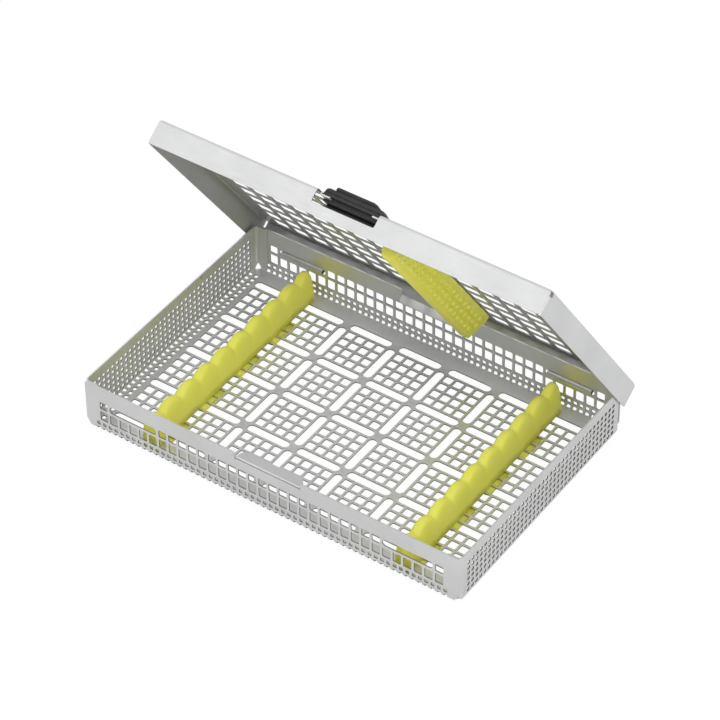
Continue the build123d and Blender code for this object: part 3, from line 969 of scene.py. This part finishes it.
# Latch
def swept(profile, stations):
    """A (y, z) profile swept along x, scaled in width and height at each (x, wide, tall)."""
    middle = sum(profile, Vector((0, 0))) / len(profile)
    base = min(point.y for point in profile)
    count = len(profile)
    vertices, faces = [], [list(range(count))]
    for x, wide, tall in stations:
        for point in profile:
            y = middle.x + (point.x - middle.x) * wide
            vertices.append((x, y, base + (point.y - base) * tall))
    for ring in range(len(stations) - 1):
        for index in range(count):
            after = (index + 1) % count
            first, second = ring * count, (ring + 1) * count
            faces.append([first + index, second + index, second + after, first + after])
    faces.append([(len(stations) - 1) * count + index for index in reversed(range(count))])
    return vertices, faces


def latch():
    """The slider's lower part from the CAD node, with a thumb plate and its grip ridge on top."""
    node = frame["nodes"]["latch_slider"]
    low, high = lid_box("latch_slider")
    under = plate_high.z + 0.4 * mm
    work = bmesh.new()
    work.from_mesh(node.data)
    work.transform(lid_place.inverted())
    bmesh.ops.remove_doubles(work, verts=work.verts, dist=1e-6)
    everything = list(work.verts) + list(work.edges) + list(work.faces)
    bmesh.ops.bisect_plane(
        work, geom=everything, dist=1e-7,
        plane_co=(0, 0, under), plane_no=(0, 0, 1), clear_outer=True,
    )
    bmesh.ops.holes_fill(work, edges=[edge for edge in work.edges if len(edge.link_faces) == 1])
    bmesh.ops.triangulate(work, faces=work.faces)
    mesh = bpy.data.meshes.new("latch_slider_plastic")
    work.to_mesh(mesh)
    work.free()
    mesh.materials.append(latch_plastic)
    piece = bpy.data.objects.new("latch_slider_plastic", mesh)
    scene.collection.objects.link(piece)
    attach(piece, "latch")
    front = low.y
    plate = rounded([
        (front + 13.6 * mm, under, 0.2 * mm),
        (front, under, 0.5 * mm),
        (front - 0.1 * mm, under + 3.0 * mm, 1.1 * mm),
        (front + 5.0 * mm, under + 3.4 * mm, 2.0 * mm),
        (front + 13.6 * mm, under + 2.2 * mm, 0.8 * mm),
    ], 3)
    ridge_foot = under + 2.6 * mm
    ridge = rounded([
        (front + 8.6 * mm, ridge_foot, 0.3 * mm),
        (front + 1.1 * mm, ridge_foot, 0.2 * mm),
        (front + 0.3 * mm, ridge_foot + 2.9 * mm, 0.8 * mm),
        (front + 4.4 * mm, ridge_foot + 3.2 * mm, 1.2 * mm),
    ], 3)
    half = high.x
    solids = [
        swept(plate, [
            (-half, 0.86, 0.55), (-half + 0.8 * mm, 0.96, 0.85), (-half + 2.2 * mm, 1, 1),
            (half - 2.2 * mm, 1, 1), (half - 0.8 * mm, 0.96, 0.85), (half, 0.86, 0.55),
        ]),
        swept(ridge, [
            (-14.6 * mm, 0.9, 0.78), (-14.0 * mm, 0.97, 0.95), (-13.0 * mm, 1, 1),
            (11.5 * mm, 1, 1), (13.2 * mm, 0.96, 0.86), (16.6 * mm, 0.8, 0.28),
        ]),
    ]
    join_solids(piece, solids)
    piece.data.transform(lid_place)
    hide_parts("latch_slider")


latch()

# CAD nodes that stay
for kept in ("left_guide_tab", "right_guide_tab", "press_bar_retainers"):
    frame["nodes"][kept].data.materials.clear()
    frame["nodes"][kept].data.materials.append(small_steel)


# Floor, world and lamps
PLAIN_LEVEL = 0.85
FLOOR_HALF = 3.0


def light_path_mix(nodes, links, plain, white, mirrored):
    """Shader that camera and transmission rays see as white, and glossy rays as mirrored."""
    path = nodes.new("ShaderNodeLightPath")
    seen = nodes.new("ShaderNodeMath")
    seen.operation = "MAXIMUM"
    links.new(path.outputs["Is Camera Ray"], seen.inputs[0])
    links.new(path.outputs["Is Transmission Ray"], seen.inputs[1])
    shader = plain
    for factor, other in ((path.outputs["Is Glossy Ray"], mirrored), (seen.outputs[0], white)):
        mix = nodes.new("ShaderNodeMixShader")
        links.new(factor, mix.inputs["Fac"])
        links.new(shader.outputs[0], mix.inputs[1])
        links.new(other.outputs[0], mix.inputs[2])
        shader = mix
    return shader


def glowing(nodes, links, colour, strength):
    """Diffuse ground with a glow of its own: the glow keeps it pale, the rest takes the shadow."""
    plain = nodes.new("ShaderNodeBsdfDiffuse")
    plain.inputs["Color"].default_value = (colour, colour, colour, 1)
    glow = nodes.new("ShaderNodeEmission")
    glow.inputs["Strength"].default_value = strength
    both = nodes.new("ShaderNodeAddShader")
    links.new(plain.outputs[0], both.inputs[0])
    links.new(glow.outputs[0], both.inputs[1])
    return both


def make_floor():
    """Pale floor that the camera sees as near white, with the object's shadow on it."""
    material, nodes, links = new_material("floor")
    plain = nodes.new("ShaderNodeBsdfDiffuse")
    plain.inputs["Color"].default_value = (PLAIN_LEVEL, PLAIN_LEVEL, PLAIN_LEVEL, 1)
    white = glowing(nodes, links, 0.1, 0.93)
    mirrored = glowing(nodes, links, 0.93, 0.02)
    shader_output(nodes, links, light_path_mix(nodes, links, plain, white, mirrored))
    mesh = bpy.data.meshes.new("floor")
    corners = [(x * FLOOR_HALF, y * FLOOR_HALF, 0) for x, y in ((-1, -1), (1, -1), (1, 1), (-1, 1))]
    mesh.from_pydata(corners, [], [(0, 1, 2, 3)])
    mesh.materials.append(material)
    ground = bpy.data.objects.new("floor", mesh)
    ground.location.z = cad_low.z - 0.2 * mm
    scene.collection.objects.link(ground)


# Direction of the studio's dark side, which only the polished metal mirrors
ROOM_DARK = (-0.351, -0.932, 0.1)


def make_world():
    """Plain pale world, white to the camera, with one darker side for glossy rays."""
    world = bpy.data.worlds.new("world")
    scene.world = world
    world.use_nodes = True
    nodes, links = world.node_tree.nodes, world.node_tree.links
    nodes.clear()
    plain = nodes.new("ShaderNodeBackground")
    plain.inputs["Strength"].default_value = PLAIN_LEVEL
    white = nodes.new("ShaderNodeBackground")
    white.inputs["Strength"].default_value = 1.0
    mirrored = nodes.new("ShaderNodeBackground")
    direction = nodes.new("ShaderNodeTexCoord").outputs["Generated"]
    toward = nodes.new("ShaderNodeVectorMath")
    toward.operation = "DOT_PRODUCT"
    toward.inputs[1].default_value = ROOM_DARK
    links.new(direction, toward.inputs[0])
    darkening = add_range(nodes, links, toward.outputs["Value"], 1.0, 0.1, 0.66, 0.80)
    links.new(darkening, mirrored.inputs["Strength"])
    output = nodes.new("ShaderNodeOutputWorld")
    shader = light_path_mix(nodes, links, plain, white, mirrored)
    links.new(shader.outputs[0], output.inputs["Surface"])


def add_lamp(name, place, target, size, power):
    """Square area lamp that faces its target."""
    data = bpy.data.lights.new(name, "AREA")
    data.size = size
    data.energy = power
    lamp = bpy.data.objects.new(name, data)
    lamp.location = place
    lamp.rotation_mode = "QUATERNION"
    lamp.rotation_quaternion = (Vector(target) - Vector(place)).to_track_quat("-Z", "Y")
    scene.collection.objects.link(lamp)


make_floor()
make_world()
add_lamp("key", (1.0, -0.7, 1.3), (0, 0, 0.03), 0.9, 5.5)
add_lamp("fill", (-0.6, -0.7, 1.5), (0, 0, 0.03), 0.9, 1.9)
scene.view_settings.view_transform = "Standard"
